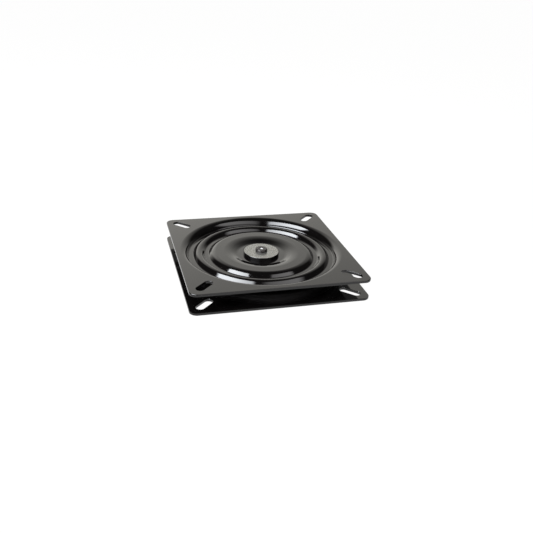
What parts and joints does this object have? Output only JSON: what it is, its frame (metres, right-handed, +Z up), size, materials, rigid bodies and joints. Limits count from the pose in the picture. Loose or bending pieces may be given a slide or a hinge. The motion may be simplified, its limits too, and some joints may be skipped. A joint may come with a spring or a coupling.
{
  "type": "swivel seat base",
  "caption": "Square swivel seat base: two pressed steel plates with slotted corners turn on a ring of caged balls round a riveted centre pivot.",
  "frame": {"origin": "on the pivot's axis, in the plane that the bottom plate stands on", "axes": "+Z up along the pivot, +X along the front edge to the right, +Y to the back"},
  "size_m": [0.178, 0.178, 0.0222],
  "materials": {
    "black_paint": "gloss black stove enamel on pressed steel",
    "collar_plate": "matt grey, finely speckled top over a dark side",
    "rivet_steel": "dark steel, bright where it was peened",
    "ball_steel": "polished bearing steel",
    "nylon": "natural nylon"
  },
  "bodies": {
    "base": {"bottom_plate": "black_paint", "bottom_collar": "collar_plate", "pivot_rivet": "rivet_steel", "centre_spacer": "nylon", "top_collar": "collar_plate"},
    "turntable": {"top_plate": "black_paint"},
    "bearing": {"ball_cage": "nylon", "ball_01": "ball_steel", "ball_02": "ball_steel", "ball_03": "ball_steel", "ball_04": "ball_steel", "ball_05": "ball_steel", "ball_06": "ball_steel", "ball_07": "ball_steel", "ball_08": "ball_steel", "ball_09": "ball_steel", "ball_10": "ball_steel", "ball_11": "ball_steel", "ball_12": "ball_steel", "ball_13": "ball_steel", "ball_14": "ball_steel", "ball_15": "ball_steel", "ball_16": "ball_steel"}
  },
  "joints": [
    {"name": "swivel", "type": "hinge", "parent": "base", "child": "turntable", "pos_m": [0, 0, 0.0111], "axis": [0, 0, 1], "continuous": true},
    {"name": "ball_orbit", "type": "hinge", "parent": "base", "child": "bearing", "pos_m": [0, 0, 0.0111], "axis": [0, 0, 1], "continuous": true}
  ],
  "couplings": [
    {"joint": "ball_orbit", "follows": "swivel", "ratio": 0.5}
  ]
}
